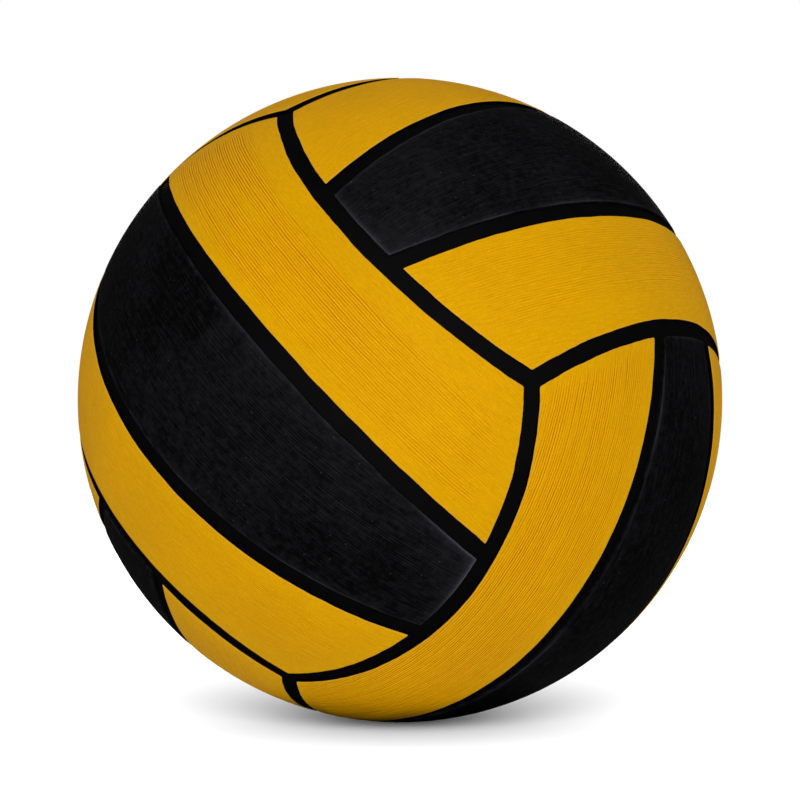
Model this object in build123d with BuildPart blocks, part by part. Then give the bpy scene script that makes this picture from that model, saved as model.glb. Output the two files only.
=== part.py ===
from build123d import *

import os
from math import acos, asin, cos, degrees, radians, sin, sqrt

# Water polo ball: an inflated bladder, wound with thread and sealed in a rubber carcass that
# carries the rubber cover panels, with a needle valve through the wall.
# Sizes are in millimetres and angles in degrees. The origin is the ball's centre, +Z is up and
# +Y is the axis of the valve, in the middle of the rear face.

# Ball and cover panels
BALL_DIAMETER = 222.0  # a size 5 ball, 697 mm round
PANEL_THICKNESS = 1.0  # also the depth of the channels between the panels
CHANNEL_WIDTH = 5.2
PANEL_EDGE_ROUND = 0.4
PANEL_CORNER_ROUND = 0.6
STRIP_SEAM_ANGLE = 14.25  # from the middle of a face to the seams beside its centre panel
PANEL_ROLL = 45.65  # turn of the panel layout about the valve axis

# Wall under the panels, from the outside in
CARCASS_THICKNESS = 0.6
WINDING_THICKNESS = 0.4
BLADDER_THICKNESS = 0.75
BOND_GAP = 0.1  # film of cement between two layers

# Valve housing
NECK_DIAMETER = 10.0  # the part that passes through the wall
NECK_CLEARANCE = 0.15  # all round the neck, in every layer
NECK_EDGE_ROUND = 0.5
VALVE_RECESS = 0.1  # end of the neck below the rim of its hole
FLANGE_DIAMETER = 26.0  # sealed to the inside of the bladder
FLANGE_THICKNESS = 1.6
STEM_DIAMETER = 12.0
STEM_LENGTH = 10.0  # inwards from the flange

# Valve plug
PLUG_HEAD_DIAMETER = 6.6
PLUG_HEAD_THICKNESS = 1.4
PLUG_SHANK_DIAMETER = 5.0
PLUG_LENGTH = 13.0
PLUG_RECESS = 0.3  # top of the plug below the end of the neck
PLUG_CLEARANCE = 0.1  # all round the plug in its housing
PLUG_EDGE_ROUND = 0.3
NEEDLE_BORE_DIAMETER = 2.0
NEEDLE_BORE_DEPTH = 9.0  # from the bottom of the lead-in; the rubber beyond it seals itself
LEAD_IN_DIAMETER = 3.2
LEAD_IN_DEPTH = 0.8

# Radii of the layers
BALL_RADIUS = BALL_DIAMETER / 2
CARCASS_RADIUS = BALL_RADIUS - PANEL_THICKNESS - BOND_GAP
WINDING_RADIUS = CARCASS_RADIUS - CARCASS_THICKNESS - BOND_GAP
BLADDER_RADIUS = WINDING_RADIUS - WINDING_THICKNESS - BOND_GAP
FLANGE_RADIUS = BLADDER_RADIUS - BLADDER_THICKNESS - BOND_GAP

# Heights along the valve axis, from the ball's centre
VALVE_HOLE_RADIUS = NECK_DIAMETER / 2 + NECK_CLEARANCE
NECK_TOP = sqrt(BALL_RADIUS**2 - VALVE_HOLE_RADIUS**2) - VALVE_RECESS
PLUG_TOP = NECK_TOP - PLUG_RECESS
PLUG_SHELF = PLUG_TOP - PLUG_HEAD_THICKNESS
STEM_BOTTOM = FLANGE_RADIUS - FLANGE_THICKNESS - STEM_LENGTH

# The seams follow a cube: its six faces, three strips to each, with the strips of neighbouring
# faces at right angles. The seams round a face pass through the directions of the cube's corners.
FACE_SEAM_ANGLE = degrees(acos(1 / sqrt(3)))
HALF_CHANNEL_ANGLE = degrees(asin(CHANNEL_WIDTH / 2 / BALL_RADIUS))
FRONT = Vector(0, -1, 0)
UPPER_RIGHT = Vector(cos(radians(PANEL_ROLL)), 0, sin(radians(PANEL_ROLL)))
LOWER_RIGHT = Vector(sin(radians(PANEL_ROLL)), 0, -cos(radians(PANEL_ROLL)))

# Each face has its outward direction, the direction across its strips and the names of the
# strips at the far and near end of that direction.
FACES = {
    "front": (FRONT, UPPER_RIGHT, "upper", "lower"),
    "rear": (-FRONT, UPPER_RIGHT, "upper", "lower"),
    "upper_right": (UPPER_RIGHT, LOWER_RIGHT, "lower", "upper"),
    "lower_left": (-UPPER_RIGHT, LOWER_RIGHT, "lower", "upper"),
    "lower_right": (LOWER_RIGHT, FRONT, "front", "rear"),
    "upper_left": (-LOWER_RIGHT, FRONT, "front", "rear"),
}
VALVE_PANEL = "rear_centre_panel"

CENTRE = Vector(0, 0, 0)
VALVE_PLANE = Plane(origin=CENTRE, z_dir=(0, 1, 0))
POLES_ALONG_Y = (90, 0, 0)
FROM_CORNER = (Align.MIN, Align.MIN)
FROM_BASE = (Align.CENTER, Align.CENTER, Align.MIN)

os.makedirs("parts", exist_ok=True)


def save(part, name):
    """Label a finished piece and write it to its own file."""
    part.label = name
    export_step(part, f"parts/{name}.step")


def seam_plane(side):
    """Middle of the channel on one side of a centre strip, facing away from that strip."""
    angle = radians(STRIP_SEAM_ANGLE)
    return Plane(origin=CENTRE, z_dir=(0, side * cos(angle), -sin(angle)))


def make_strip(segment):
    """Panel from a segment of the ball: its skin, thickened inwards, with rounded corners and top."""
    skin = segment.faces().filter_by(GeomType.SPHERE)[0]
    with BuildPart() as strip:
        thicken(skin, amount=-PANEL_THICKNESS)
        fillet(strip.edges().sort_by(SortBy.LENGTH)[:4], PANEL_CORNER_ROUND)
        top_face = strip.faces().filter_by(GeomType.SPHERE).sort_by(SortBy.AREA)[-1]
        fillet(top_face.edges(), PANEL_EDGE_ROUND)
    return strip.part


def make_panel(name, strip, outward, across):
    """Cover panel: a strip on the plane of its face, with the valve's hole where it has one."""
    with BuildPart(Plane(origin=CENTRE, x_dir=across.cross(outward), z_dir=outward)) as panel:
        add(strip)
        if name == VALVE_PANEL:
            Cylinder(VALVE_HOLE_RADIUS, BALL_DIAMETER, align=FROM_BASE, mode=Mode.SUBTRACT)
    save(panel.part, name)


def make_layer(name, outer_radius, thickness):
    """Closed layer of the wall, with the hole that the valve's neck passes through."""
    with BuildPart(VALVE_PLANE) as layer:
        Sphere(outer_radius)
        Sphere(outer_radius - thickness, mode=Mode.SUBTRACT)
        Cylinder(VALVE_HOLE_RADIUS, BALL_DIAMETER, align=FROM_BASE, mode=Mode.SUBTRACT)
    save(layer.part, name)


# Wall under the panels
make_layer("carcass", CARCASS_RADIUS, CARCASS_THICKNESS)
make_layer("winding", WINDING_RADIUS, WINDING_THICKNESS)
make_layer("bladder", BLADDER_RADIUS, BLADDER_THICKNESS)

# Segments of the ball under the centre strip and one side strip of a face that looks along +Z,
# with the strips along X
end_plane = Plane(origin=(0, 0, BALL_RADIUS * cos(radians(FACE_SEAM_ANGLE - HALF_CHANNEL_ANGLE))))
side_reach = BALL_RADIUS * cos(radians(FACE_SEAM_ANGLE + HALF_CHANNEL_ANGLE))
with BuildPart() as centre_segment:
    Sphere(BALL_RADIUS, rotation=POLES_ALONG_Y)
    split(bisect_by=end_plane, keep=Keep.TOP)
    for side in (1, -1):
        split(bisect_by=seam_plane(side).offset(-CHANNEL_WIDTH / 2), keep=Keep.BOTTOM)
with BuildPart() as side_segment:
    Sphere(BALL_RADIUS, rotation=POLES_ALONG_Y)
    split(bisect_by=end_plane, keep=Keep.TOP)
    split(bisect_by=seam_plane(1).offset(CHANNEL_WIDTH / 2), keep=Keep.TOP)
    split(bisect_by=Plane(origin=(0, side_reach, 0), z_dir=(0, 1, 0)), keep=Keep.BOTTOM)
centre_strip = make_strip(centre_segment)
side_strip = make_strip(side_segment)

# Cover panels, three to a face
for face, (outward, across, far_side, near_side) in FACES.items():
    make_panel(f"{face}_centre_panel", centre_strip, outward, across)
    make_panel(f"{face}_{far_side}_panel", side_strip, outward, across)
    make_panel(f"{face}_{near_side}_panel", side_strip, outward, -across)

# Valve housing: half section with the radius along X and the valve axis along Y
with BuildPart() as valve_housing:
    with BuildSketch(Plane.XY):
        Circle(FLANGE_RADIUS)
        Circle(FLANGE_RADIUS - FLANGE_THICKNESS, mode=Mode.SUBTRACT)
        Rectangle(FLANGE_DIAMETER / 2, BALL_RADIUS, align=FROM_CORNER, mode=Mode.INTERSECT)
        with Locations((0, STEM_BOTTOM)):
            Rectangle(STEM_DIAMETER / 2, STEM_LENGTH + FLANGE_THICKNESS / 2, align=FROM_CORNER)
            Rectangle(NECK_DIAMETER / 2, NECK_TOP - STEM_BOTTOM, align=FROM_CORNER)
            Rectangle(
                PLUG_SHANK_DIAMETER / 2 + PLUG_CLEARANCE,
                NECK_TOP - STEM_BOTTOM,
                align=FROM_CORNER,
                mode=Mode.SUBTRACT,
            )
        with Locations((0, PLUG_SHELF)):
            Rectangle(
                PLUG_HEAD_DIAMETER / 2 + PLUG_CLEARANCE,
                NECK_TOP - PLUG_SHELF,
                align=FROM_CORNER,
                mode=Mode.SUBTRACT,
            )
    revolve(axis=Axis.Y)
    fillet(valve_housing.edges().group_by(Axis.Y)[-1].sort_by(SortBy.RADIUS)[-1], NECK_EDGE_ROUND)
save(valve_housing.part, "valve_housing")

# Valve plug: the same half section, with the needle's bore down its middle
with BuildPart() as valve_plug:
    with BuildSketch(Plane.XY):
        with Locations((0, PLUG_TOP - PLUG_LENGTH)):
            Rectangle(PLUG_SHANK_DIAMETER / 2, PLUG_LENGTH, align=FROM_CORNER)
        with Locations((0, PLUG_SHELF)):
            Rectangle(PLUG_HEAD_DIAMETER / 2, PLUG_HEAD_THICKNESS, align=FROM_CORNER)
        with Locations((0, PLUG_TOP - LEAD_IN_DEPTH - NEEDLE_BORE_DEPTH)):
            Rectangle(
                NEEDLE_BORE_DIAMETER / 2,
                NEEDLE_BORE_DEPTH + LEAD_IN_DEPTH,
                align=FROM_CORNER,
                mode=Mode.SUBTRACT,
            )
        Polygon(
            (NEEDLE_BORE_DIAMETER / 2, PLUG_TOP - LEAD_IN_DEPTH),
            (LEAD_IN_DIAMETER / 2, PLUG_TOP),
            (NEEDLE_BORE_DIAMETER / 2, PLUG_TOP),
            align=None,
            mode=Mode.SUBTRACT,
        )
    revolve(axis=Axis.Y)
    rims = valve_plug.edges().filter_by(GeomType.CIRCLE)
    fillet(rims.group_by(SortBy.RADIUS)[-1].sort_by(Axis.Y)[-1], PLUG_EDGE_ROUND)
    fillet(valve_plug.edges().group_by(Axis.Y)[0], PLUG_EDGE_ROUND)
save(valve_plug.part, "valve_plug")
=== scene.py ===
from functools import partial
from math import acos, asin, cos, pi, radians, sin, sqrt

import bmesh
import bpy
from bpy.props import FloatProperty, FloatVectorProperty, IntProperty, PointerProperty
from mathutils import Matrix, Vector


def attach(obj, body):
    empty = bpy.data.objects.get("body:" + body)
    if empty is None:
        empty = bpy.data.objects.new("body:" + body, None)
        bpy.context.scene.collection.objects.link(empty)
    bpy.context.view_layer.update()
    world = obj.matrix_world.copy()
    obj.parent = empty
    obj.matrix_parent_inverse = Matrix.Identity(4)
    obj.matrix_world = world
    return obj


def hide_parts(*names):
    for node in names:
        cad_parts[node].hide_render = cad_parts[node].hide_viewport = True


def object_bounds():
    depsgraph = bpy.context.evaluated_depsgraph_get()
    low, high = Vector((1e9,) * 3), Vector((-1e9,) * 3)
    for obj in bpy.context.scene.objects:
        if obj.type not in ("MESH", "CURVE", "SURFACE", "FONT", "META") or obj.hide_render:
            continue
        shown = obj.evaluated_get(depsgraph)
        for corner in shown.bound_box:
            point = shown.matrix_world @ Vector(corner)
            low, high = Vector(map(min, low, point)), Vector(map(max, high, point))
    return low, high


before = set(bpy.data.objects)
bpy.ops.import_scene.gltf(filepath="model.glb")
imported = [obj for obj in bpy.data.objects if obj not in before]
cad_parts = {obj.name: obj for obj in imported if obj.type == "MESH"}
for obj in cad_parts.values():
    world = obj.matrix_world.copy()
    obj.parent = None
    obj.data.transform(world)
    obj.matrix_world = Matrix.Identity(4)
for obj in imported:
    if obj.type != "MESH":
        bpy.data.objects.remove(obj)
CAD_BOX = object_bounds()

bl_info = {
    "name": "Water polo ball",
    "version": (1, 0, 0),
    "blender": (4, 5, 0),
    "location": "3D View > Sidebar > Ball",
    "description": "Ribbed cover panels, wall and valve of a water polo ball, with a studio to show it",
    "category": "Add Mesh",
}

MM = 0.001  # lengths are in metres

# Radii of the panels' skin and of the seat under them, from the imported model
PANEL_REACH = [corner.co.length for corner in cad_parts["front_centre_panel"].data.vertices]
BALL_RADIUS = max(PANEL_REACH)
SEAT_RADIUS = min(PANEL_REACH)

# The panel layout follows a cube that is turned about the valve's axis. Each face has its outward
# direction, the direction across its strips, and the names of the strips at that direction's far and
# near end.
PANEL_ROLL = radians(45.65)
FRONT = Vector((0, -1, 0))
UPPER_RIGHT = Vector((cos(PANEL_ROLL), 0, sin(PANEL_ROLL)))
LOWER_RIGHT = Vector((sin(PANEL_ROLL), 0, -cos(PANEL_ROLL)))
FACES = {
    "front": (FRONT, UPPER_RIGHT, "upper", "lower"),
    "rear": (-FRONT, UPPER_RIGHT, "upper", "lower"),
    "upper_right": (UPPER_RIGHT, LOWER_RIGHT, "lower", "upper"),
    "lower_left": (-UPPER_RIGHT, LOWER_RIGHT, "lower", "upper"),
    "lower_right": (LOWER_RIGHT, FRONT, "front", "rear"),
    "upper_left": (-LOWER_RIGHT, FRONT, "front", "rear"),
}
FACE_SEAM_ANGLE = acos(1 / sqrt(3))  # from the middle of a face to the corners of the cube
VALVE_PANEL = "rear_centre_panel"

# Rings of a panel's grid, counted from the grid's rim. Ring 0 is the middle line of the underside, and
# these are the foot of the wall, the top of the wall and the end of the rounded edge.
FOOT_RING = 3
WALL_RING = 4
ROUND_RING = 8
WELD = 0.001 * MM  # points closer than this are one
SHARP_ANGLE = radians(50)  # edges with a sharper bend than this aren't smoothed

# Ribs of the panels: their strength at the start and the end of a strip, how far they stop from its
# inner edge, its outer edge and its ends, the lean of their planes and their skew along the strip
SIDE_RIBS = (0.9, 0.9, 1.5 * MM, 5 * MM, 3 * MM, radians(14), 0.0)
CENTRE_RIBS = (0.9, 0.9, 3 * MM, 3 * MM, 3 * MM, 0.0, 0.0)
OTHER_RIBS = {
    "front_upper_panel": (1.9, 0.75, 1.5 * MM, 6 * MM, 3 * MM, radians(11), radians(1)),
    "front_lower_panel": (0.9, 0.4, 1.5 * MM, 5 * MM, 1 * MM, radians(6), radians(-0.5)),
    "upper_right_upper_panel": (0.45, 0.45, 1.5 * MM, 1 * MM, 1 * MM, radians(14), 0.0),
    "upper_right_lower_panel": (0.6, 0.5, 0 * MM, 8 * MM, 3 * MM, radians(21), radians(-3)),
    "lower_right_front_panel": (1.8, 1.8, 1.5 * MM, -2.5 * MM, -1 * MM, radians(16), radians(-0.5)),
}
MARGIN_FADE = 5 * MM  # from where the ribs start, beside an edge or the valve, to their full depth
END_FADE = 8 * MM  # the same at the ends of a strip
END_RAGGEDNESS = 3 * MM  # how unevenly the ribs start there
VALVE_MARGIN = 9 * MM  # from the valve's axis to the first ribs
NO_VALVE_MARGIN = -10 * MM  # far enough below zero that no rib fades

# Unevenness of the ribs, in cells of noise: their stray from an even spacing, worn patches along and
# across a strip, and worn streaks along each rib
SHIFT_STEP = 0.35  # from one rib to the next
PATCH_CELLS = (4.0, 2.5, 0.0)
STREAK_CELLS = 4.0
STREAK_STEP = 0.55  # from one rib to the next
PATCH_WEAR = (0.35, 0.65, 0.65, 1.0)  # two values of the noise, and the strength of the ribs at each
STREAK_WEAR = (0.33, 0.67, 0.2, 1.15)
STRAY_GAIN = 4.0  # brings the noise that an edge strays by to about 1 either way

# Seeds of the first yellow and the first black panel, each of the others taking the next one, and of
# the clouds on the black panels
YELLOW_SEED = 30.0
BLACK_SEED = 60.0
CLOUD_SEED = 1450.0

# Painted highlight along a black panel's edge, a grey rim: share of the rim's width from the panel's edge,
# and how grey it is there
RIM_HIGHLIGHT_WIDTH = 5 * MM
RIM_HIGHLIGHT_LEVELS = ((0.02, 0.0), (0.07, 0.7), (0.15, 0.35), (0.24, 0.18), (0.38, 0.06), (0.9, 0.0))

# Ends of two centre panels with painted sheen: place, reach of the grey film of painted sheen round it, how
# grey the film is there and how strongly the rim's painted highlight shows
SHEEN_ENDS = (
    ((LOWER_RIGHT * 0.80 + UPPER_RIGHT * 0.15 + FRONT * 0.58) * BALL_RADIUS, 30 * MM, 0.012, 0.6),
    ((FRONT * 0.79 + UPPER_RIGHT * 0.61 + LOWER_RIGHT * 0.05) * BALL_RADIUS, 40 * MM, 0.022, 0.25),
)
RIM_HIGHLIGHT_REACH = 36 * MM  # from an end with painted sheen to where the rim's painted highlight is no stronger than elsewhere
RIDGE_HIGHLIGHT = 0.04  # how much greyer a black rib is than the groove beside it, at a strength of 1, as a painted highlight

# Refraction of the valve's, the cover's and the carcass's rubber, of the bladder's and of the thread
RUBBER_IOR = 1.52
BUTYL_IOR = 1.51
NYLON_IOR = 1.53
THREAD_PAIR = 1.6 * MM  # from one ridge of the winding to the next
WAVE_LENGTH = 0.314  # of the wave texture at a scale of 1

# Cutter of the valve's hole
CUTTER_REACH = 5 * MM  # beyond both sides of the panel
CUTTER_STEPS = 96
CUTTER_ROUND_STEPS = 6

# Studio
FLOOR_REACH = 8.0
FLOOR_GREY = 0.95
CARD_GREY = 0.01
CARD_STEPS = 48
CARD_DEPTH = 2 * MM  # under the floor
SKY_BLEND = 0.3  # sine of the angles below and above the level between which the two skies blend
SOFT_BOX_DISTANCE = 1.3
SOFT_BOX_SIZE = 0.9

# Lights of the floor: turn from the camera, height and spread in degrees, and the strength they take
FLOOR_LIGHTS = {
    "floor_front_light": (0, 18, 31, "floor_power"),
    "floor_left_light": (-67, 16.5, 104, "floor_side_power"),
    "floor_right_light": (67, 16.5, 104, "floor_side_power"),
}

# Kinds of node that the shapes and the finishes share. A RANGE is fed a value, the two ends that it lies
# between and what they become; ends that are left out are 0 and 1. For vectors they are inputs 7 to 10.
MATH = "ShaderNodeMath"
VECTOR = "ShaderNodeVectorMath"
RANGE = "ShaderNodeMapRange"
NOISE = "ShaderNodeTexNoise"
SPLIT = "ShaderNodeSeparateXYZ"
JOIN = "ShaderNodeCombineXYZ"
MIX = "ShaderNodeMix"
MARK = "ShaderNodeAttribute"
SPOT = "ShaderNodeTexCoord"
BUMP = "ShaderNodeBump"
NOISE_SPAN = (0.3, 0.7)  # where nearly all values of a noise lie
STRIP_SPAN = (-0.5, 0.5)  # from one side of a strip to the other
SIN_COS = ("SINE", "COSINE")
COLOUR_MIX = {"out": "Result_Color", "data_type": "RGBA"}

# Inputs of a panel's tree: those that are sizes of the cover, those that are values of its ribs, and all
# of them by their kind
COVER_INPUTS = (
    "Edge round", "Corner round", "Edge wander", "Wander length",
    "Rib pitch", "Rib height", "Rib unevenness",
)
RIB_INPUTS = ("Start strength", "End strength", "Inner margin", "Outer margin", "End margin")
PANEL_INPUTS = {
    "Int": ("Columns", "Rows"),
    "Vector": ("Half steps", "Spacing", "Spacing growth", "Strip size", "Rib across"),
    "Float": (
        *COVER_INPUTS, *RIB_INPUTS, "Inner angle", "Outer angle", "Inner lean", "Outer lean", "End angle",
        "Ball radius", "Thickness", "Margin fade", "End raggedness", "End fade", "Valve margin", "Seed",
    ),
    "Rotation": ("Face turn",),
    "Material": ("Rubber",),
}


def linear(hex_code):
    """Linear RGB of an sRGB hex colour."""
    parts = [int(hex_code[place:place + 2], 16) / 255 for place in (1, 3, 5)]
    return [part / 12.92 if part <= 0.04045 else ((part + 0.055) / 1.055) ** 2.4 for part in parts]


def find_socket(sockets, key):
    """Socket by its place in the row, or by its identifier or name."""
    matches = [socket for socket in sockets if key in (socket.identifier, socket.name)]
    return matches[0] if matches else sockets[key]


def feed_node(node, feeds):
    """Set or link a node's inputs, given as a list in their order or by place, identifier or name."""
    for key, feed in feeds.items() if isinstance(feeds, dict) else enumerate(feeds):
        socket = find_socket(node.inputs, key)
        if isinstance(feed, bpy.types.NodeSocket):
            node.id_data.links.new(feed, socket)
        else:
            socket.default_value = feed


def add_node(tree, kind, feeds=(), out=0, **settings):
    """Add a node with its settings or stops, set or link its inputs and return one of its outputs."""
    node = tree.nodes.new(kind)
    for number, (place, colour) in enumerate(settings.pop("stops", ())):
        stop = node.color_ramp.elements[number] if number < 2 else node.color_ramp.elements.new(place)
        stop.position = place
        stop.color = (*colour, 1)
    for name, value in settings.items():
        setattr(node, name, value)
    feed_node(node, feeds)
    return find_socket(node.outputs, out) if node.outputs else node


class BALL_PG_cover(bpy.types.PropertyGroup):
    """Sizes of the moulded cover panels."""

    channel_width: FloatProperty(
        name="Channel width", description="Gap between neighbouring panels", default=5.2 * MM, unit="LENGTH"
    )
    strip_seam_angle: FloatProperty(
        name="Strip seam angle",
        description="From the middle of a face to the seams beside its centre strip",
        default=radians(14.25),
        subtype="ANGLE",
    )
    edge_round: FloatProperty(
        name="Edge round", description="Radius along the top edges", default=0.4 * MM, unit="LENGTH"
    )
    corner_round: FloatProperty(
        name="Corner round", description="Radius of the upright corners", default=0.6 * MM, unit="LENGTH"
    )
    edge_wander: FloatProperty(
        name="Edge wander", description="How far a trimmed edge strays", default=0.35 * MM, unit="LENGTH"
    )
    wander_length: FloatProperty(
        name="Wander length", description="Length of one stray along an edge", default=16 * MM, unit="LENGTH"
    )
    rib_pitch: FloatProperty(
        name="Rib pitch", description="From one rib to the next", default=0.82 * MM, unit="LENGTH"
    )
    rib_height: FloatProperty(
        name="Rib height", description="Depth of the grooves between ribs", default=0.11 * MM, unit="LENGTH"
    )
    rib_unevenness: FloatProperty(
        name="Rib unevenness", description="How far a rib strays from its even place, in ribs", default=0.45
    )
    rib_rows: IntProperty(name="Rows in a rib", description="Rows of faces across one rib", default=6)
    half_columns: IntProperty(
        name="Columns in half a strip",
        description="Columns of faces from a strip's middle to its end",
        default=60,
    )
    end_column: FloatProperty(
        name="End column",
        description="Length of the last face before the rounded end",
        default=0.8 * MM,
        unit="LENGTH",
    )


class BALL_PG_finish(bpy.types.PropertyGroup):
    """Colours of the rubbers and of the thread."""

    yellow: FloatVectorProperty(
        name="Yellow rubber",
        description="Cover panels beside the centre strips",
        default=linear("#DCA000"),
        subtype="COLOR",
    )
    # The paler ridge and browner groove colours are a painted highlight and painted shade on the ribs
    yellow_ridge_highlight: FloatVectorProperty(
        name="Yellow ridge", description="Yellow rubber on a rib", default=linear("#EEAE04"), subtype="COLOR"
    )
    yellow_groove_shade: FloatVectorProperty(
        name="Yellow groove",
        description="Yellow rubber between two ribs",
        default=linear("#BA6A00"),
        subtype="COLOR",
    )
    # The pale line along the rounded edges is a painted highlight
    yellow_edge_highlight: FloatVectorProperty(
        name="Yellow rim", description="Rubbed edge of a panel", default=linear("#DDB95A"), subtype="COLOR"
    )
    black: FloatVectorProperty(
        name="Black rubber", description="Centre strips", default=linear("#040405"), subtype="COLOR"
    )
    # The bloom's grey also paints the highlight along the edges and on the ridges, and the sheen at two ends
    bloom_and_highlight: FloatVectorProperty(
        name="Bloom", description="Grey film on the black rubber", default=linear("#70707C"), subtype="COLOR"
    )
    carcass: FloatVectorProperty(
        name="Carcass rubber", description="Channel floors", default=linear("#030304"), subtype="COLOR"
    )
    thread: FloatVectorProperty(
        name="Nylon thread", description="Wound on the bladder", default=linear("#DCD8CB"), subtype="COLOR"
    )
    bladder: FloatVectorProperty(
        name="Butyl rubber", description="Bladder", default=linear("#262628"), subtype="COLOR"
    )
    talc: FloatVectorProperty(
        name="Talc", description="Dust on the bladder", default=linear("#8C8A86"), subtype="COLOR"
    )
    valve: FloatVectorProperty(
        name="Valve rubber", description="Valve housing and plug", default=linear("#17171A"), subtype="COLOR"
    )


class BALL_PG_valve(bpy.types.PropertyGroup):
    """Sizes of the valve's hole."""

    hole_radius: FloatProperty(
        name="Hole radius", description="Hole for the neck in its panel", default=5.15 * MM, unit="LENGTH"
    )
    hole_round: FloatProperty(
        name="Hole round", description="Radius of the hole's rim", default=0.35 * MM, unit="LENGTH"
    )


class BALL_PG_studio(bpy.types.PropertyGroup):
    """Camera and light of the studio."""

    azimuth: FloatProperty(
        name="Azimuth", description="Camera's turn round the ball", default=radians(34.41), subtype="ANGLE"
    )
    elevation: FloatProperty(
        name="Elevation", description="Camera's height as an angle", default=radians(-2.49), subtype="ANGLE"
    )
    distance: FloatProperty(
        name="Distance", description="Camera to the ball's centre", default=0.6159, unit="LENGTH"
    )
    lens: FloatProperty(name="Lens", description="Focal length on a 36 mm sensor", default=79.16)
    sky: FloatProperty(name="Sky", description="Strength of the white light from above", default=0.53)
    low_sky: FloatProperty(
        name="Low sky", description="Strength of the white light from below", default=0.69
    )
    mirrored_sky: FloatProperty(
        name="Mirrored sky", description="Strength of the dark surroundings that gloss shows", default=0.06
    )
    front_power: FloatProperty(
        name="Front light", description="Power of the soft box behind the camera, in watts", default=11.0
    )
    rear_power: FloatProperty(
        name="Rear light", description="Power of the soft box beyond the ball, in watts", default=7.0
    )
    light_rise: FloatProperty(
        name="Light rise",
        description="Height of the soft boxes above the camera's line of sight",
        default=0.1,
        unit="LENGTH",
    )
    card_radius: FloatProperty(
        name="Shadow card", description="Radius of the card under the floor", default=0.052, unit="LENGTH"
    )
    floor_power: FloatProperty(
        name="Floor light", description="Strength of the front light that whitens the floor", default=3.5
    )
    floor_side_power: FloatProperty(
        name="Floor side light",
        description="Strength of each side light that whitens the floor",
        default=2.75,
    )


def add_object(name, data):
    """Object of this mesh, camera or light in the scene."""
    thing = bpy.data.objects.new(name, data)
    bpy.context.scene.collection.objects.link(thing)
    return thing


def aim(name, data, place):
    """Camera or light at a place, turned to the ball's centre."""
    thing = add_object(name, data)
    thing.location = place
    thing.rotation_euler = (-place).to_track_quat("-Z", "Y").to_euler()
    return thing


def direction(azimuth, elevation):
    """Unit vector from the ball's centre, turned from the front and raised by these angles."""
    return Vector((sin(azimuth) * cos(elevation), -cos(azimuth) * cos(elevation), sin(elevation)))


def strip_angles(seam, half_channel, side_strip):
    """Angles of a strip's inner and outer edge from the middle of its face, and how their planes lean."""
    if side_strip:
        return seam + half_channel, pi / 2 - FACE_SEAM_ANGLE - half_channel, seam, 0.0
    return half_channel - seam, seam - half_channel, -seam, seam


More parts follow.
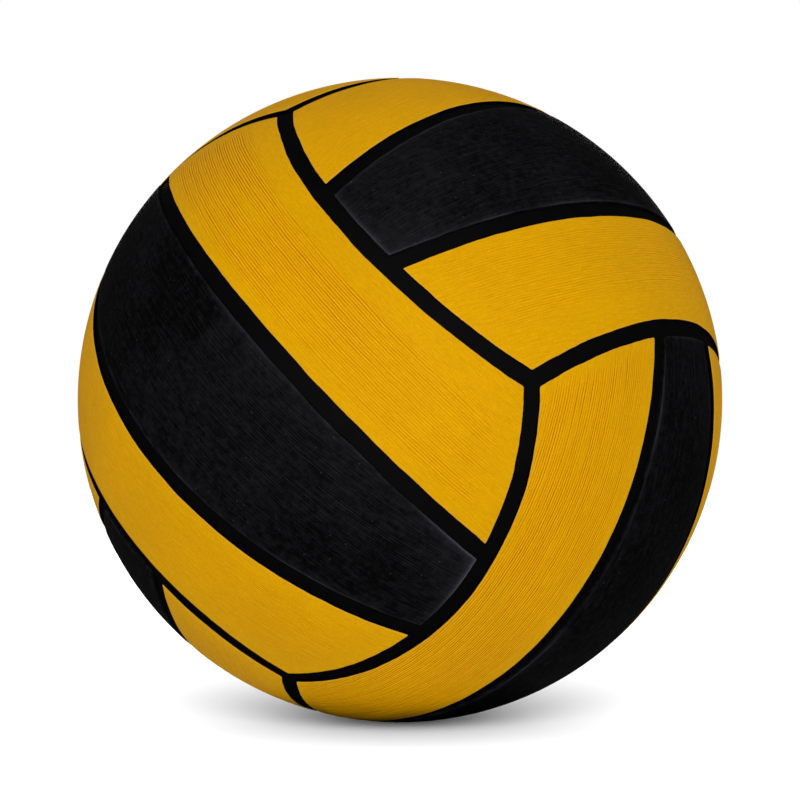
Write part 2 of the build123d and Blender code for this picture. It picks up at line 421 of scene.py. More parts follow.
def make_panel_tree(name):
    """Geometry Nodes tree of one cover panel: a strip of the sphere with rounded edges and fine ribs."""
    tree = bpy.data.node_groups.new(name, "GeometryNodeTree")
    tree.interface.new_socket("Panel", in_out="OUTPUT", socket_type="NodeSocketGeometry")
    for kind, labels in PANEL_INPUTS.items():
        for label in labels:
            tree.interface.new_socket(label, in_out="INPUT", socket_type="NodeSocket" + kind)
    given = {socket.name: socket for socket in tree.nodes.new("NodeGroupInput").outputs}
    add = partial(add_node, tree)
    ball_radius = given["Ball radius"]
    edge_round = given["Edge round"]
    strip_size = given["Strip size"]
    seed = given["Seed"]

    # Flat grid with one unit to a step; x runs along the strip and y across it
    half = given["Half steps"]
    full = add(VECTOR, {0: half, "Scale": 2.0}, operation="SCALE")
    full_x, full_y, _flat = add(SPLIT, [full]).node.outputs
    grid = add(
        "GeometryNodeMeshGrid",
        {"Size X": full_x, "Size Y": full_y, "Vertices X": given["Columns"], "Vertices Y": given["Rows"]},
    )
    spot = add("GeometryNodeInputPosition")
    side = add(VECTOR, [spot], operation="SIGN")
    reach = add(VECTOR, [spot], operation="ABSOLUTE")
    steps = add(VECTOR, [half, reach], operation="SUBTRACT")
    end_steps, edge_steps, _flat = add(SPLIT, [steps]).node.outputs
    ring = add(MATH, [end_steps, edge_steps], operation="MINIMUM")

    # Distance of each point from the end and from the long edge of the strip
    arc = add(
        RANGE, {"Vector": steps, 7: (WALL_RING,) * 3, 8: (ROUND_RING,) * 3, 9: (0,) * 3, 10: (pi / 2,) * 3},
        out=1, data_type="FLOAT_VECTOR",
    )
    arc_cos = add(VECTOR, [arc], operation="COSINE")
    arc_share = add(VECTOR, [(1,) * 3, arc_cos], operation="SUBTRACT")
    rounded = add(VECTOR, {0: arc_share, "Scale": edge_round}, operation="SCALE")
    past_round = add(VECTOR, [steps, (ROUND_RING,) * 3], operation="SUBTRACT")
    inner_steps = add(VECTOR, [past_round, (0,) * 3], operation="MAXIMUM")
    wider = add(VECTOR, [inner_steps, given["Spacing growth"], given["Spacing"]], operation="MULTIPLY_ADD")
    top_inset = add(VECTOR, [inner_steps, wider, rounded], operation="MULTIPLY_ADD")
    length, width, _flat = add(SPLIT, [strip_size]).node.outputs
    half_width = add(MATH, [width, 0.5], operation="MULTIPLY")
    under_inset = add(RANGE, [ring, 0.0, FOOT_RING, half_width, 0.0])
    sharp_inset = add(VECTOR, [top_inset, under_inset], operation="MAXIMUM")

    # Rounded corners: the square corner of the grid is drawn in to a quarter circle
    corner = given["Corner round"]
    corner_size = add(JOIN, [corner, corner, corner])
    into = add(
        RANGE, {"Vector": sharp_inset, 7: (0,) * 3, 8: corner_size, 9: (1,) * 3, 10: (0,) * 3},
        out=1, data_type="FLOAT_VECTOR",
    )
    into_end, into_edge, _flat = add(SPLIT, [into]).node.outputs
    crossed = add(JOIN, [into_edge, into_end])
    squared = add(VECTOR, [crossed, crossed], operation="MULTIPLY")
    kept = add(VECTOR, [squared, (-0.5,) * 3, (1,) * 3], operation="MULTIPLY_ADD")
    kept_root = add(VECTOR, [kept, (0.5,) * 3], operation="POWER")
    drawn = add(VECTOR, [(1,) * 3, kept_root], operation="SUBTRACT")
    drawn_in = add(VECTOR, [into, drawn], operation="MULTIPLY")
    inset = add(VECTOR, [drawn_in, corner_size, sharp_inset], operation="MULTIPLY_ADD")

    # Place on the strip as a share of its length and width, from -0.5 to 0.5
    inset_share = add(VECTOR, [inset, strip_size], operation="DIVIDE")
    from_middle = add(VECTOR, [(0.5, 0.5, 0), inset_share], operation="SUBTRACT")
    share = add(VECTOR, [from_middle, side], operation="MULTIPLY")
    along, across, _flat = add(SPLIT, [share]).node.outputs

    # Direction from the ball's centre: across the strip the lines of the grid turn from the circle
    # of the inner edge to the circle of the outer edge, and all of them stop at the face's end
    angle, lean = [
        add(RANGE, [across, *STRIP_SPAN, given["Inner " + size], given["Outer " + size]])
        for size in ("angle", "lean")
    ]
    rise = add(MATH, [angle, lean], operation="SUBTRACT")
    rise_sin, rise_cos = [add(MATH, [rise], operation=part) for part in SIN_COS]
    lean_sin, lean_cos = [add(MATH, [lean], operation=part) for part in SIN_COS]
    end_cos = add(MATH, [given["End angle"]], operation="COSINE")
    end_height = add(MATH, [rise_sin, lean_sin, end_cos], operation="MULTIPLY_ADD")
    end_reach = add(MATH, [rise_cos, lean_cos], operation="MULTIPLY")
    end_share = add(MATH, [end_height, end_reach], operation="DIVIDE")
    end_turn = add(MATH, [end_share], operation="ARCCOSINE")
    full_turn = add(MATH, [end_turn, 2.0], operation="MULTIPLY")
    turn = add(MATH, [full_turn, along], operation="MULTIPLY")
    turn_sin, turn_cos = [add(MATH, [turn], operation=part) for part in SIN_COS]
    level_x = add(MATH, [rise_cos, turn_sin], operation="MULTIPLY")
    level_z = add(MATH, [rise_cos, turn_cos], operation="MULTIPLY")
    level = add(JOIN, [level_x, rise_sin, level_z])
    lean_back = add(MATH, [lean, -1.0], operation="MULTIPLY")
    true_way = add("ShaderNodeVectorRotate", {"Vector": level, "Angle": lean_back}, rotation_type="X_AXIS")

    # Hand-trimmed edges: the whole skin strays sideways by a slow noise
    place = add(VECTOR, {0: true_way, "Scale": ball_radius}, operation="SCALE")
    wander_scale = add(MATH, [1.0, given["Wander length"]], operation="DIVIDE")
    stray = add(
        NOISE, {"Vector": place, "W": seed, "Scale": wander_scale, "Detail": 4.0, "Roughness": 0.62},
        out=1, noise_dimensions="4D",
    )
    stray_way = add(VECTOR, [stray, (0.5,) * 3], operation="SUBTRACT")
    stray_angle = add(MATH, [given["Edge wander"], ball_radius], operation="DIVIDE")
    stray_reach = add(MATH, [stray_angle, STRAY_GAIN], operation="MULTIPLY")
    strayed = add(VECTOR, {0: stray_way, "Scale": stray_reach}, operation="SCALE")
    strayed_way = add(VECTOR, [true_way, strayed], operation="ADD")
    way = add(VECTOR, [strayed_way], operation="NORMALIZE")

    # Ribs: a wave in parallel planes, not quite evenly spaced
    rib_rise = add(VECTOR, [true_way, given["Rib across"]], out="Value", operation="DOT_PRODUCT")
    rib_turn = add(MATH, [rib_rise], operation="ARCSINE")
    rib_offset = add(MATH, [rib_turn, ball_radius], operation="MULTIPLY")
    even_place = add(MATH, [rib_offset, given["Rib pitch"]], operation="DIVIDE")
    shift_place = add(MATH, [even_place, SHIFT_STEP, seed], operation="MULTIPLY_ADD")
    shift = add(NOISE, {"W": shift_place, "Scale": 1.0, "Detail": 1.0}, noise_dimensions="1D")
    rib_place = add(MATH, [shift, given["Rib unevenness"], even_place], operation="MULTIPLY_ADD")
    rib_angle = add(MATH, [rib_place, 2 * pi], operation="MULTIPLY")
    wave = add(MATH, [rib_angle], operation="COSINE")
    groove_shape = add(MATH, [wave, -0.5, 0.5], operation="MULTIPLY_ADD")
    rib_number = add(MATH, [rib_place], operation="FLOOR")

    # Margins: the ribs fade out towards the panel's edges, its ragged ends and the valve
    end_side = add(SPLIT, [side])
    seeded_rib = add(JOIN, [rib_number, seed, end_side])
    ragged = add("ShaderNodeTexWhiteNoise", {"Vector": seeded_rib}, noise_dimensions="3D")
    ragged_end = add(MATH, [ragged, given["End raggedness"]], operation="MULTIPLY")
    end_margin = add(MATH, [ragged_end, given["End margin"]], operation="ADD")
    to_inner = add(MATH, [across, 0.5], operation="ADD")
    to_outer = add(MATH, [0.5, across], operation="SUBTRACT")
    along_reach = add(MATH, [along], operation="ABSOLUTE")
    to_end = add(MATH, [0.5, along_reach], operation="SUBTRACT")
    flat_spot = add(VECTOR, [place, (1, 1, 0)], operation="MULTIPLY")
    from_valve = add(VECTOR, [flat_spot], out=1, operation="LENGTH")
    shown = 1.0
    for distance, span, margin, fade_length in (
        (to_inner, width, given["Inner margin"], given["Margin fade"]),
        (to_outer, width, given["Outer margin"], given["Margin fade"]),
        (to_end, length, end_margin, given["End fade"]),
        (from_valve, 1.0, given["Valve margin"], given["Margin fade"]),
    ):
        gap = add(MATH, [distance, span], operation="MULTIPLY")
        past = add(MATH, [gap, margin], operation="SUBTRACT")
        fade = add(RANGE, [past, 0.0, fade_length], interpolation_type="SMOOTHSTEP")
        shown = add(MATH, [shown, fade], operation="MULTIPLY")

    # Wear: the ribs that are left differ in strength by patches, by streaks and along the strip
    patch_place = add(VECTOR, [share, PATCH_CELLS], operation="MULTIPLY")
    patch = add(
        NOISE, {"Vector": patch_place, "W": seed, "Scale": 1.0, "Detail": 2.0}, noise_dimensions="4D"
    )
    strength = add(RANGE, [patch, *PATCH_WEAR])
    streak_along = add(MATH, [along, STREAK_CELLS], operation="MULTIPLY")
    streak_across = add(MATH, [rib_number, STREAK_STEP], operation="MULTIPLY")
    streak_place = add(JOIN, [streak_along, streak_across, seed])
    streak = add(NOISE, {"Vector": streak_place, "Scale": 1.0, "Detail": 2.0, "Roughness": 0.7})
    streak_strength = add(RANGE, [streak, *STREAK_WEAR])
    end_strength = add(RANGE, [along, *STRIP_SPAN, given["Start strength"], given["End strength"]])
    for part in (streak_strength, end_strength, shown):
        strength = add(MATH, [strength, part], operation="MULTIPLY")
    groove = add(MATH, [groove_shape, strength], operation="MULTIPLY")
    # Signed wave of the ribs, which the finishes use to paint a highlight on the ridges and shade in the
    # grooves
    half_wave = add(MATH, [groove_shape, 0.5], operation="SUBTRACT")
    rib_tone = add(MATH, [half_wave, strength], operation="MULTIPLY")

    # Distance from the ball's centre: the rounded edge, the wall down to the seat and the grooves
    edge_arc = add(RANGE, [ring, WALL_RING, ROUND_RING, 0.0, pi / 2])
    edge_sin = add(MATH, [edge_arc], operation="SINE")
    edge_share = add(MATH, [1.0, edge_sin], operation="SUBTRACT")
    edge_drop = add(MATH, [edge_share, edge_round], operation="MULTIPLY")
    at_foot = add(MATH, [ring, FOOT_RING + 0.5], operation="LESS_THAN")
    wall = add(MATH, [given["Thickness"], edge_round], operation="SUBTRACT")
    edge_depth = add(MATH, [at_foot, wall, edge_drop], operation="MULTIPLY_ADD")
    depth = add(MATH, [groove, given["Rib height"], edge_depth], operation="MULTIPLY_ADD")
    radius = add(MATH, [ball_radius, depth], operation="SUBTRACT")
    placed = add(VECTOR, {0: way, "Scale": radius}, operation="SCALE")

    # Attributes for the finish, then the shape itself
    inset_end, inset_edge, _flat = add(SPLIT, [sharp_inset]).node.outputs
    to_edge = add(MATH, [inset_end, inset_edge], operation="MINIMUM")
    map_share = add(VECTOR, [spot, full], operation="DIVIDE")
    map_spot = add(VECTOR, [map_share, (0.5, 0.5, 0)], operation="ADD")
    strip_spot = add(VECTOR, [share, strip_size], operation="MULTIPLY")
    strip_along = add(SPLIT, [strip_spot])
    strip_place = add(JOIN, [strip_along, rib_offset, seed])
    shape = grid
    for label, value, kind, domain in (
        ("rib_tone", rib_tone, "FLOAT", "POINT"),
        ("edge_distance", to_edge, "FLOAT", "POINT"),
        ("strip_place", strip_place, "FLOAT_VECTOR", "POINT"),
        ("OFBake", map_spot, "FLOAT2", "CORNER"),
    ):
        shape = add(
            "GeometryNodeStoreNamedAttribute", {"Geometry": shape, "Name": label, "Value": value},
            data_type=kind, domain=domain,
        )
    for kind, feeds in (
        ("SetPosition", {"Position": placed}),
        ("MergeByDistance", {"Distance": WELD}),
        ("Transform", {"Rotation": given["Face turn"]}),
        ("SetShadeSmooth", {}),
        ("RealizeInstances", {}),
        ("SetMaterial", {"Material": given["Rubber"]}),
    ):
        shape = add("GeometryNode" + kind, {"Geometry": shape, **feeds})
    add("NodeGroupOutput", [shape])
    return tree


def bake_modifier(piece, modifier):
    """Give a piece the plain mesh that its modifier makes."""
    graph = bpy.context.evaluated_depsgraph_get()
    mesh = bpy.data.meshes.new_from_object(piece.evaluated_get(graph), depsgraph=graph)
    piece.modifiers.remove(modifier)
    piece.data = mesh
    mesh.name = piece.name


def bake_tree(name, tree, values):
    """Piece whose plain mesh is what the tree makes of these inputs."""
    piece = add_object(name, bpy.data.meshes.new(name))
    modifier = piece.modifiers.new("shape", "NODES")
    modifier.node_group = tree
    for item in tree.interface.items_tree:
        if item.in_out == "INPUT":
            modifier[item.identifier] = values[item.name]
    bake_modifier(piece, modifier)
    piece.data.materials.pop(index=0)  # the empty slot that comes before the tree's own material
    return piece


def cut_valve_hole(piece):
    """Cut the hole that the valve's neck stands in, with a rounded rim."""
    valve = bpy.context.scene.ball_valve
    rim = sqrt(BALL_RADIUS**2 - (valve.hole_radius + valve.hole_round) ** 2)
    bottom = SEAT_RADIUS - CUTTER_REACH
    top = rim + CUTTER_REACH
    profile = [(0.0, bottom), (valve.hole_radius, bottom)]
    for step in range(CUTTER_ROUND_STEPS + 1):
        angle = pi / 2 * step / CUTTER_ROUND_STEPS
        profile.append((
            valve.hole_radius + valve.hole_round * (1 - cos(angle)),
            rim - valve.hole_round * (1 - sin(angle)),
        ))
    profile += [(valve.hole_radius + 2 * valve.hole_round, top), (0.0, top)]
    shape = bmesh.new()
    corners = [shape.verts.new((radius, height, 0)) for radius, height in profile]
    edges = [shape.edges.new(pair) for pair in zip(corners, corners[1:])]
    bmesh.ops.spin(
        shape, geom=corners + edges, axis=(0, 1, 0), cent=(0, 0, 0), angle=2 * pi, steps=CUTTER_STEPS,
        use_duplicate=False,
    )
    bmesh.ops.remove_doubles(shape, verts=shape.verts, dist=WELD)
    bmesh.ops.recalc_face_normals(shape, faces=shape.faces)
    cutter_mesh = bpy.data.meshes.new("valve_hole_cutter")
    shape.to_mesh(cutter_mesh)
    shape.free()
    cutter_mesh.materials.append(piece.data.materials[0])
    cutter = add_object("valve_hole_cutter", cutter_mesh)
    cut = piece.modifiers.new("valve_hole", "BOOLEAN")
    cut.object = cutter
    cut.operation = "DIFFERENCE"
    cut.solver = "EXACT"
    bake_modifier(piece, cut)
    bpy.data.objects.remove(cutter)


def make_panel(tree, node, outward, across, side_strip, seed, rubber):
    """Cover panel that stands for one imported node, placed on its face."""
    cover = bpy.context.scene.ball_cover
    half_channel = asin(cover.channel_width / 2 / BALL_RADIUS)
    inner, outer, inner_lean, outer_lean = strip_angles(cover.strip_seam_angle, half_channel, side_strip)
    end = FACE_SEAM_ANGLE - half_channel
    middle_lean = (inner_lean + outer_lean) / 2
    middle_rise = (inner + outer) / 2 - middle_lean
    end_share = (cos(end) + sin(middle_rise) * sin(middle_lean)) / (cos(middle_rise) * cos(middle_lean))
    length = 2 * BALL_RADIUS * cos(middle_rise) * acos(end_share)
    width = BALL_RADIUS * (outer - inner)
    half_length = length / 2 - cover.edge_round
    half_width = width / 2 - cover.edge_round
    columns = cover.half_columns
    rows = round(half_width / cover.rib_pitch * cover.rib_rows)
    growth = (half_length - columns * cover.end_column) / columns**2
    ribs = OTHER_RIBS.get(node, SIDE_RIBS if side_strip else CENTRE_RIBS)
    rib_lean, skew = ribs[-2:]
    values = {
        "Columns": 2 * (columns + ROUND_RING) + 1,
        "Rows": 2 * (rows + ROUND_RING) + 1,
        "Half steps": (columns + ROUND_RING, rows + ROUND_RING, 1.0),
        "Spacing": (cover.end_column, half_width / rows, 0.0),
        "Spacing growth": (growth, 0.0, 0.0),
        "Strip size": (length, width, 1.0),
        "Rib across": (sin(skew), cos(skew) * cos(rib_lean), -cos(skew) * sin(rib_lean)),
        "Inner angle": inner,
        "Outer angle": outer,
        "Inner lean": inner_lean,
        "Outer lean": outer_lean,
        "End angle": end,
        "Ball radius": BALL_RADIUS,
        "Thickness": BALL_RADIUS - SEAT_RADIUS,
        "Margin fade": MARGIN_FADE,
        "End raggedness": END_RAGGEDNESS,
        "End fade": END_FADE,
        "Valve margin": VALVE_MARGIN if node == VALVE_PANEL else NO_VALVE_MARGIN,
        "Face turn": Matrix((across.cross(outward), across, outward)).transposed().to_euler(),
        "Seed": seed,
        "Rubber": rubber,
    }
    values.update({label: getattr(cover, label.lower().replace(" ", "_")) for label in COVER_INPUTS})
    values.update(zip(RIB_INPUTS, ribs))
    piece = bake_tree(node + "_ribbed", tree, values)
    if node == VALVE_PANEL:
        cut_valve_hole(piece)
    piece.data.set_sharp_from_angle(angle=SHARP_ANGLE)
    piece.visible_diffuse = False  # the floor sees the black carcass only, so no panel tints it
    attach(piece, "ball")
    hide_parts(node)
    return piece


def new_material(name):
    """Material with no nodes but its shader and output; gives it, the shader and what adds its nodes."""
    material = bpy.data.materials.new(name)
    material.use_nodes = True
    tree = material.node_tree
    return material, tree.nodes["Principled BSDF"], partial(add_node, tree)


# In these finishes the rubber's grain is drawn 0.6 to 2.4 mm wide, because the real one, which is finer,
# wouldn't show in the render.
def yellow_rubber():
    """Finish of the side panels."""
    # Moulded natural rubber gives a matte golden skin, with a painted highlight paler on the ribs and
    # painted shade browner between them, a pale painted highlight along the edges, and the walls of a panel
    # drawn black
    finish = bpy.context.scene.ball_finish
    material, shader, add = new_material("moulded_yellow_rubber")
    spot = add(SPOT, out="Object")
    rib_tone = add(MARK, out="Fac", attribute_name="rib_tone")
    to_edge = add(MARK, out="Fac", attribute_name="edge_distance")
    cloud = add(NOISE, {"Vector": spot, "Scale": 1 / (30 * MM), "Detail": 4.0})
    cloud_tone = add(RANGE, [cloud, *NOISE_SPAN, 0.96, 1.03])
    grain = add(NOISE, {"Vector": spot, "Scale": 1 / (0.8 * MM), "Detail": 2.0})
    grain_tone = add(RANGE, [grain, *NOISE_SPAN, 0.95, 1.05])
    place = add(MARK, out="Vector", attribute_name="strip_place")
    drawn = add("ShaderNodeMapping", {"Vector": place, "Scale": (1 / (5 * MM), 1 / (0.5 * MM), 1)})
    fibre = add(NOISE, {"Vector": drawn, "Scale": 1.0, "Detail": 3.0})
    tone = add(RANGE, [fibre, *NOISE_SPAN, 0.92, 1.08])
    for part in (grain_tone, cloud_tone):
        tone = add(MATH, [part, tone], operation="MULTIPLY")
    # Painted highlight on the ridges and painted shade in the grooves, following the ribs' wave
    rib_place = add(MATH, [rib_tone, 0.5], operation="ADD")
    stops = ((0.0, finish.yellow_ridge_highlight), (0.5, finish.yellow), (1.0, finish.yellow_groove_shade))
    ribbed = add("ShaderNodeValToRGB", [rib_place], stops=stops)
    colour = add(VECTOR, {0: ribbed, "Scale": tone}, operation="SCALE")
    # Painted highlight: a pale line along the panel's rounded edge
    edge_highlight = add(RANGE, [to_edge, 0.2 * MM, 0.6 * MM, 0.12, 0.0])
    # The walls of the panel are drawn in the carcass's black
    wall = add(RANGE, [to_edge, 0.04 * MM, 0.12 * MM, 1.0, 0.0])
    for amount, edge_colour in ((edge_highlight, finish.yellow_edge_highlight), (wall, finish.carcass)):
        edged = {"Factor_Float": amount, "A_Color": colour, "B_Color": (*edge_colour, 1)}
        colour = add(MIX, edged, **COLOUR_MIX)
    feed_node(shader, {
        "Base Color": colour,
        "Roughness": add(RANGE, [cloud, *NOISE_SPAN, 0.55, 0.68]),
        "Normal": add(BUMP, {"Height": grain, "Strength": 0.25, "Distance": 0.05 * MM}),
        "IOR": RUBBER_IOR,
        "Specular IOR Level": 0.03,
    })
    return material


def black_rubber():
    """Finish of the centre panels."""
    # Moulded black rubber gives a dead matte skin with a fine grain, faint grey clouds and specks of bloom;
    # a thin grey line along the edges is a painted highlight, greyer ridges too, and a grey film at two ends
    # is painted sheen
    finish = bpy.context.scene.ball_finish
    material, shader, add = new_material("moulded_black_rubber")
    spot = add(SPOT, out="Object")
    rib_tone = add(MARK, out="Fac", attribute_name="rib_tone")
    to_edge = add(MARK, out="Fac", attribute_name="edge_distance")
    cloud = add(
        NOISE, {"Vector": spot, "W": CLOUD_SEED, "Scale": 1 / (40 * MM), "Detail": 6.0},
        noise_dimensions="4D",
    )
    cloud_and_sheen = add(RANGE, [cloud, 0.35, 0.65, -0.006, 0.02])
    grain = add(NOISE, {"Vector": spot, "Scale": 1 / (2.4 * MM), "Detail": 4.0, "Roughness": 0.75})
    grain_bloom = add(RANGE, [grain, 0.35, 0.7, -0.01, 0.026])
    place = add(MARK, out="Vector", attribute_name="strip_place")
    drawn = add("ShaderNodeMapping", {"Vector": place, "Scale": (1 / (9 * MM), 1 / (0.6 * MM), 1)})
    fibre = add(NOISE, {"Vector": drawn, "Scale": 1.0, "Detail": 3.0})
    fibre_bloom = add(RANGE, [fibre, 0.4, 0.75, -0.004, 0.03])
    speck = add("ShaderNodeTexVoronoi", {"Vector": spot, "Scale": 1 / (4 * MM)})
    speck_bloom = add(RANGE, [speck, 0.04, 0.08, 0.12, 0.0])
    # Painted highlight along the edges, its strength varying by a slow noise
    rim_highlight_noise = add(NOISE, {"Vector": spot, "Scale": 1 / (26 * MM), "Detail": 3.0})
    rim_highlight_strength = add(RANGE, [rim_highlight_noise, 0.42, 0.68, 0.03, 0.25])
    # Painted sheen: a grey film round two ends, added to the real grey clouds, where the edge's painted
    # highlight is also stronger
    for end, reach, grey, rim_highlight in SHEEN_ENDS:
        gap = add(VECTOR, [spot, end], out="Value", operation="DISTANCE")
        end_sheen = add(RANGE, [gap, 0.0, reach, grey, 0.0])
        cloud_and_sheen = add(MATH, [cloud_and_sheen, end_sheen], operation="ADD")
        near = add(RANGE, [gap, 0.0, RIM_HIGHLIGHT_REACH, rim_highlight, 0.0], interpolation_type="SMOOTHSTEP")
        rim_highlight_strength = add(MATH, [rim_highlight_strength, near], operation="MAXIMUM")
    # Painted highlight: a thin grey line along the rounded edge, stronger near the two ends with painted
    # sheen
    edge_place = add(RANGE, [to_edge, 0.0, RIM_HIGHLIGHT_WIDTH])
    stops = [(share, (level,) * 3) for share, level in RIM_HIGHLIGHT_LEVELS]
    edge = add("ShaderNodeValToRGB", [edge_place], stops=stops)
    bloom_and_highlight = add(MATH, [edge, rim_highlight_strength, cloud_and_sheen], operation="MULTIPLY_ADD")
    for part in (speck_bloom, fibre_bloom, grain_bloom):
        bloom_and_highlight = add(MATH, [bloom_and_highlight, part], operation="ADD")
    # Painted highlight: the ridges of the ribs a little greyer than the grooves
    bloom_and_highlight = add(MATH, [rib_tone, -RIDGE_HIGHLIGHT, bloom_and_highlight], operation="MULTIPLY_ADD", use_clamp=True)
    bloomed = {"Factor_Float": bloom_and_highlight, "A_Color": (*finish.black, 1), "B_Color": (*finish.bloom_and_highlight, 1)}
    feed_node(shader, {
        "Base Color": add(MIX, bloomed, **COLOUR_MIX),
        "Roughness": add(RANGE, [cloud, *NOISE_SPAN, 0.5, 0.62]),
        "Normal": add(BUMP, {"Height": grain, "Strength": 0.3, "Distance": 0.05 * MM}),
        "IOR": RUBBER_IOR,
        "Specular IOR Level": 0.06,
    })
    return material


def carcass_rubber():
    """Finish of the channels' floor."""
    # Carcass rubber brushed with cement gives a dull black with a slight bluish sheen and a rough skin
    finish = bpy.context.scene.ball_finish
    material, shader, add = new_material("cemented_carcass_rubber")
    spot = add(SPOT, out="Object")
    cloud = add(NOISE, {"Vector": spot, "Scale": 1 / (8 * MM), "Detail": 5.0})
    tone = add(RANGE, [cloud, *NOISE_SPAN, 0.7, 1.4])
    grain = add(NOISE, {"Vector": spot, "Scale": 1 / (0.6 * MM), "Detail": 3.0})
    feed_node(shader, {
        "Base Color": add(VECTOR, {0: tuple(finish.carcass), "Scale": tone}, operation="SCALE"),
        "Roughness": add(RANGE, [cloud, *NOISE_SPAN, 0.65, 0.8]),
        "Normal": add(BUMP, {"Height": grain, "Strength": 0.4, "Distance": 0.08 * MM}),
        "IOR": RUBBER_IOR,
        "Specular IOR Level": 0.1,
    })
    return material


def wound_thread():
    """Finish of the winding."""
    # Nylon thread wound in many directions and set in cement gives a cream skin with thread-wide ridges
    finish = bpy.context.scene.ball_finish
    material, shader, add = new_material("wound_nylon_thread")
    spot = add(SPOT, out="Object")
    wave = {"Scale": WAVE_LENGTH / THREAD_PAIR, "Distortion": 1.5, "Detail": 2.0, "Detail Scale": 2.0}
    height = 0.0
    for turn in (0.0, pi / 3, 2 * pi / 3):
        laid = add("ShaderNodeMapping", {"Vector": spot, "Rotation": (turn, turn / 2, turn)})
        strands = add("ShaderNodeTexWave", {"Vector": laid, **wave}, out="Fac")
        height = add(MATH, [height, strands], operation="MAXIMUM")
    tone = add(RANGE, [height, 0.2, 1.0, 0.55])
    feed_node(shader, {
        "Base Color": add(VECTOR, {0: tuple(finish.thread), "Scale": tone}, operation="SCALE"),
        "Roughness": 0.5,
        "Normal": add(BUMP, {"Height": height, "Strength": 0.8, "Distance": 0.2 * MM}),
        "IOR": NYLON_IOR,
    })
    return material


def butyl_rubber():
    """Finish of the bladder."""
    # Butyl rubber cured in a mould gives a smooth dark skin under patches of pale talc
    finish = bpy.context.scene.ball_finish
    material, shader, add = new_material("talced_butyl_rubber")
    spot = add(SPOT, out="Object")
    dust = add(NOISE, {"Vector": spot, "Scale": 1 / (14 * MM), "Detail": 6.0})
    cover = add(RANGE, [dust, 0.45, 0.75, 0.0, 0.6])
    dusted = {"Factor_Float": cover, "A_Color": (*finish.bladder, 1), "B_Color": (*finish.talc, 1)}
    feed_node(shader, {
        "Base Color": add(MIX, dusted, **COLOUR_MIX),
        "Roughness": add(RANGE, [cover, 0.0, 0.6, 0.4, 0.8]),
        "IOR": BUTYL_IOR,
    })
    return material


def valve_rubber():
    """Finish of the valve housing and its plug."""
    # Moulded valve rubber gives a black satin with a fine pebbled skin
    finish = bpy.context.scene.ball_finish
    material, shader, add = new_material("satin_valve_rubber")
    spot = add(SPOT, out="Object")
    pebble = add("ShaderNodeTexVoronoi", {"Vector": spot, "Scale": 1 / (0.5 * MM)})
    cloud = add(NOISE, {"Vector": spot, "Scale": 1 / (3 * MM), "Detail": 4.0})
    tone = add(RANGE, [cloud, *NOISE_SPAN, 0.8, 1.3])
    feed_node(shader, {
        "Base Color": add(VECTOR, {0: tuple(finish.valve), "Scale": tone}, operation="SCALE"),
        "Roughness": add(RANGE, [cloud, *NOISE_SPAN, 0.38, 0.5]),
        "Normal": add(BUMP, {"Height": pebble, "Strength": 0.2, "Distance": 0.04 * MM}),
        "IOR": RUBBER_IOR,
        "Specular IOR Level": 0.3,
    })
    return material


def coat_node(node, material):
    """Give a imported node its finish."""
    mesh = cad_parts[node].data
    mesh.materials.clear()
    mesh.materials.append(material)


def add_sheet(name, corners, material_name, grey):
    """Flat sheet of the studio, dead matte and of one grey."""
    mesh = bpy.data.meshes.new(name)
    mesh.from_pydata(corners, [], [range(len(corners))])
    material, shader, _add = new_material(material_name)
    feed_node(shader, {
        "Base Color": (grey, grey, grey, 1),
        "Roughness": 1.0,
        "Specular IOR Level": 0.0,
    })
    mesh.materials.append(material)
    return add_object(name, mesh)


class BALL_OT_yellow_panels(bpy.types.Operator):
    """Make the two yellow side panels of each face"""

    bl_idname = "ball.yellow_panels"
    bl_label = "Yellow panels"

    def execute(self, context):
        tree = make_panel_tree("ribbed_side_panel")
        rubber = yellow_rubber()
        seed = YELLOW_SEED
        for face, (outward, across, far_side, near_side) in FACES.items():
            for name, way in ((far_side, across), (near_side, -across)):
                piece = make_panel(tree, f"{face}_{name}_panel", outward, way, True, seed, rubber)
                seed += 1
        return {"FINISHED"}


class BALL_OT_black_panels(bpy.types.Operator):
    """Make the black centre panel of each face"""

    bl_idname = "ball.black_panels"
    bl_label = "Black panels"

    def execute(self, context):
        tree = make_panel_tree("ribbed_centre_panel")
        rubber = black_rubber()
        seed = BLACK_SEED
        for face, (outward, across, _far_side, _near_side) in FACES.items():
            piece = make_panel(tree, f"{face}_centre_panel", outward, across, False, seed, rubber)
            seed += 1
        return {"FINISHED"}


class BALL_OT_wall(bpy.types.Operator):
    """Finish the carcass, the winding and the bladder"""

    bl_idname = "ball.wall"
    bl_label = "Wall layers"

    def execute(self, context):
        coat_node("carcass", carcass_rubber())
        coat_node("winding", wound_thread())
        coat_node("bladder", butyl_rubber())
        return {"FINISHED"}


class BALL_OT_valve(bpy.types.Operator):
    """Finish the valve housing and its plug"""

    bl_idname = "ball.valve"
    bl_label = "Valve"

    def execute(self, context):
        rubber = valve_rubber()
        coat_node("valve_housing", rubber)
        coat_node("valve_plug", rubber)
        return {"FINISHED"}


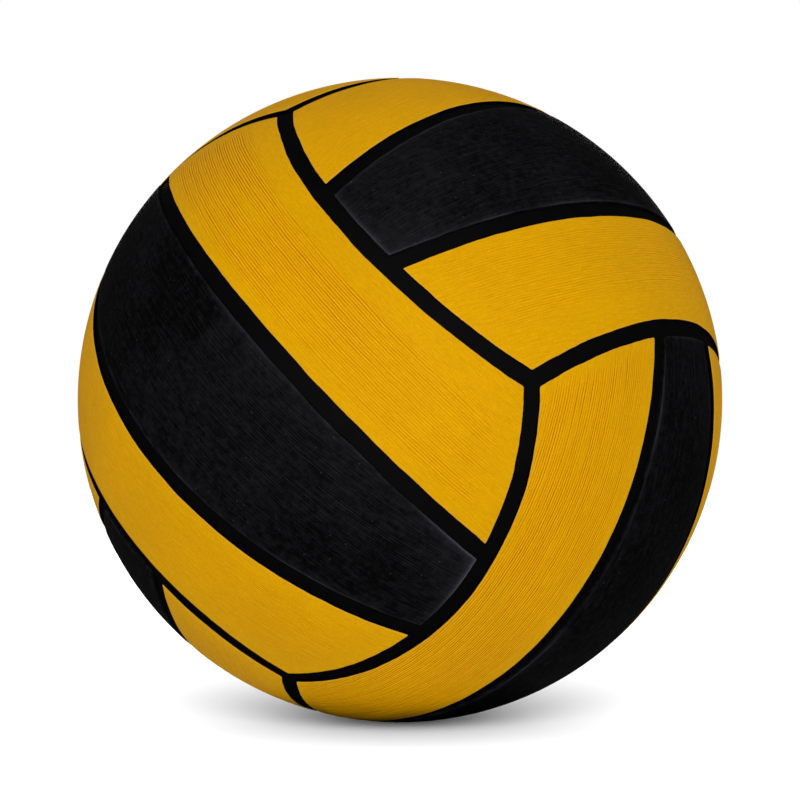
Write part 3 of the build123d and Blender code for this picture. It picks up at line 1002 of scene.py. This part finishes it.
class BALL_OT_studio(bpy.types.Operator):
    """Make the pale floor, the soft lights and the camera"""

    bl_idname = "ball.studio"
    bl_label = "Studio"

    def execute(self, context):
        scene = context.scene
        studio = scene.ball_studio
        scene.view_settings.view_transform = "Standard"

        # The floor doesn't light the ball from below, and a dark card under it stands for the shadow
        # that the ball's underside would see there
        low = CAD_BOX[0].z
        square = ((-1, -1), (1, -1), (1, 1), (-1, 1))
        corners = [(x * FLOOR_REACH, y * FLOOR_REACH, low) for x, y in square]
        floor = add_sheet("floor", corners, "white_paper_floor", FLOOR_GREY)
        floor.visible_diffuse = False
        floor.visible_glossy = False
        turns = [2 * pi * step / CARD_STEPS for step in range(CARD_STEPS)]
        radius = studio.card_radius
        rim = [(radius * cos(turn), radius * sin(turn), low - CARD_DEPTH) for turn in turns]
        card = add_sheet("shadow_card", rim, "black_felt_card", CARD_GREY)

        # White behind the ball, a softer light from all sides, stronger from below as a white floor
        # sends it back, and dark cloths all round in what the gloss mirrors
        world = bpy.data.worlds.new("studio_sky")
        world.use_nodes = True
        tree = world.node_tree
        add = partial(add_node, tree)
        rays = add("ShaderNodeLightPath").node.outputs
        way = add(SPOT, out="Generated")
        height = add(SPLIT, [way], out="Z")
        strength = add(RANGE, [height, -SKY_BLEND, SKY_BLEND, studio.low_sky, studio.sky])
        for ray, level in (("Is Glossy Ray", studio.mirrored_sky), ("Is Camera Ray", 1.0)):
            seen = {"Factor_Float": rays[ray], "A_Float": strength, "B_Float": level}
            strength = add(MIX, seen, out="Result_Float")
        feed_node(tree.nodes["Background"], {"Color": (1, 1, 1, 1), "Strength": strength})
        scene.world = world

        back = direction(studio.azimuth, studio.elevation)
        camera = bpy.data.cameras.new("photo_camera")
        camera.lens = studio.lens
        scene.camera = aim("photo_camera", camera, back * studio.distance)

        above = Vector((0, 0, studio.light_rise))
        for name, distance, power in (
            ("front_soft_box", SOFT_BOX_DISTANCE, studio.front_power),
            ("rear_soft_box", -SOFT_BOX_DISTANCE, studio.rear_power),
        ):
            lamp = bpy.data.lights.new(name, "AREA")
            lamp.size = SOFT_BOX_SIZE
            lamp.energy = power
            aim(name, lamp, back * distance + above)

        # The floor has low lights of its own, so it is white up to a narrow shadow under the ball
        floor_group = bpy.data.collections.new("floor_only")
        floor_group.objects.link(floor)
        for name, (turn, rise, spread, power) in FLOOR_LIGHTS.items():
            lamp = bpy.data.lights.new(name, "SUN")
            lamp.energy = getattr(studio, power)
            lamp.angle = radians(spread)
            light = aim(name, lamp, direction(studio.azimuth + radians(turn), radians(rise)))
            light.light_linking.receiver_collection = floor_group
        return {"FINISHED"}


class BALL_PT_sidebar(bpy.types.Panel):
    """Sizes, colours and steps of the ball"""

    bl_idname = "BALL_PT_sidebar"
    bl_label = "Water polo ball"
    bl_space_type = "VIEW_3D"
    bl_region_type = "UI"
    bl_category = "Ball"

    def draw(self, context):
        for group_name in GROUPS:
            group = getattr(context.scene, group_name)
            for name in group.bl_rna.properties.keys():
                if name not in ("rna_type", "name"):
                    self.layout.prop(group, name)
        for operator in OPERATORS:
            self.layout.operator(operator.bl_idname)


GROUPS = {
    "ball_cover": BALL_PG_cover,
    "ball_valve": BALL_PG_valve,
    "ball_finish": BALL_PG_finish,
    "ball_studio": BALL_PG_studio,
}
OPERATORS = (BALL_OT_yellow_panels, BALL_OT_black_panels, BALL_OT_wall, BALL_OT_valve, BALL_OT_studio)


def register():
    """Add the classes and their properties to Blender."""
    for cls in (*GROUPS.values(), *OPERATORS, BALL_PT_sidebar):
        bpy.utils.register_class(cls)
    for name, group in GROUPS.items():
        setattr(bpy.types.Scene, name, PointerProperty(type=group))


def unregister():
    """Take them out again."""
    for name in GROUPS:
        delattr(bpy.types.Scene, name)
    for cls in (BALL_PT_sidebar, *reversed(OPERATORS), *GROUPS.values()):
        bpy.utils.unregister_class(cls)


def main():
    """Make the ball and its studio."""
    register()
    bpy.ops.ball.yellow_panels()
    bpy.ops.ball.black_panels()
    bpy.ops.ball.wall()
    bpy.ops.ball.valve()
    bpy.ops.ball.studio()


if __name__ == "__main__":
    main()
